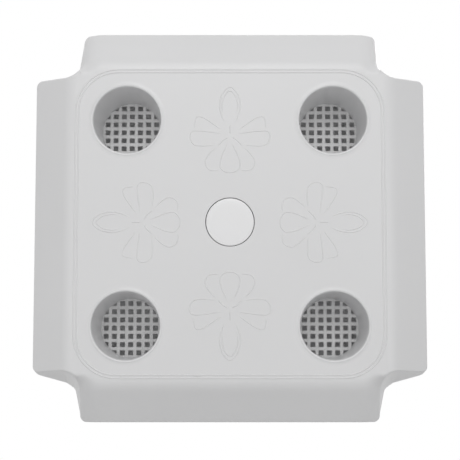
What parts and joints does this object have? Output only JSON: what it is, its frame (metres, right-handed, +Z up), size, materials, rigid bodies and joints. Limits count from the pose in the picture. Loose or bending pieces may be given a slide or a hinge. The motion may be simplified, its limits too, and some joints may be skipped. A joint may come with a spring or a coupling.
{
  "type": "ceiling air diffuser",
  "caption": "Square ceiling air diffuser: a cross-shaped face with sloping wings and round grilled nozzles hangs from a framed neck with a shuttered duct spigot.",
  "frame": {"origin": "centre of the ceiling screw circle, in the ceiling plane against which the flange sits", "axes": "+Z up into the ceiling void along the duct axis; the face points down along -Z; X and Y run along the wings"},
  "size_m": [0.3, 0.3, 0.1507],
  "materials": {
    "face_plastic": "satin moulded plastic, pale grey",
    "cap_plastic": "satin moulded plastic, near white",
    "grille_plastic": "satin moulded plastic, grey",
    "frame_plastic": "fine textured moulded plastic",
    "shutter_plastic": "moulded plastic, grey",
    "bright_steel": "brushed",
    "zinc_plated_steel": "zinc plated",
    "seal_foam": "closed-cell foam"
  },
  "bodies": {
    "frame": {"mounting_frame": "frame_plastic", "ceiling_seal": "seal_foam", "bridge_bar": "bright_steel", "bridge_screws": "zinc_plated_steel", "captive_nut": "zinc_plated_steel", "duct_adaptor": "frame_plastic", "adaptor_seal": "seal_foam", "adaptor_screws": "zinc_plated_steel", "spigot_seal": "seal_foam", "fixed_plate": "shutter_plastic", "shutter_axle": "bright_steel", "wave_washer": "bright_steel", "axle_clip": "bright_steel"},
    "face": {"face_panel": "face_plastic", "nozzle_front_left": "face_plastic", "nozzle_front_right": "face_plastic", "nozzle_back_left": "face_plastic", "nozzle_back_right": "face_plastic", "grille_front_left": "grille_plastic", "grille_front_right": "grille_plastic", "grille_back_left": "grille_plastic", "grille_back_right": "grille_plastic", "fixing_screw": "zinc_plated_steel", "screw_washer": "zinc_plated_steel"},
    "cap": {"centre_cap": "cap_plastic"},
    "shutter": {"shutter_disc": "shutter_plastic", "finger_tab": "shutter_plastic"}
  },
  "joints": [
    {"name": "face_drop", "type": "slide", "parent": "frame", "child": "face", "axis": [0, 0, -1], "range_m": [0, 0.08]},
    {"name": "cap_pull", "type": "slide", "parent": "face", "child": "cap", "axis": [0, 0, -1], "range_m": [0, 0.03]},
    {"name": "shutter_turn", "type": "hinge", "parent": "frame", "child": "shutter", "pos_m": [0, 0, 0.08], "axis": [0, 0, 1], "range_deg": [0, 45]}
  ]
}
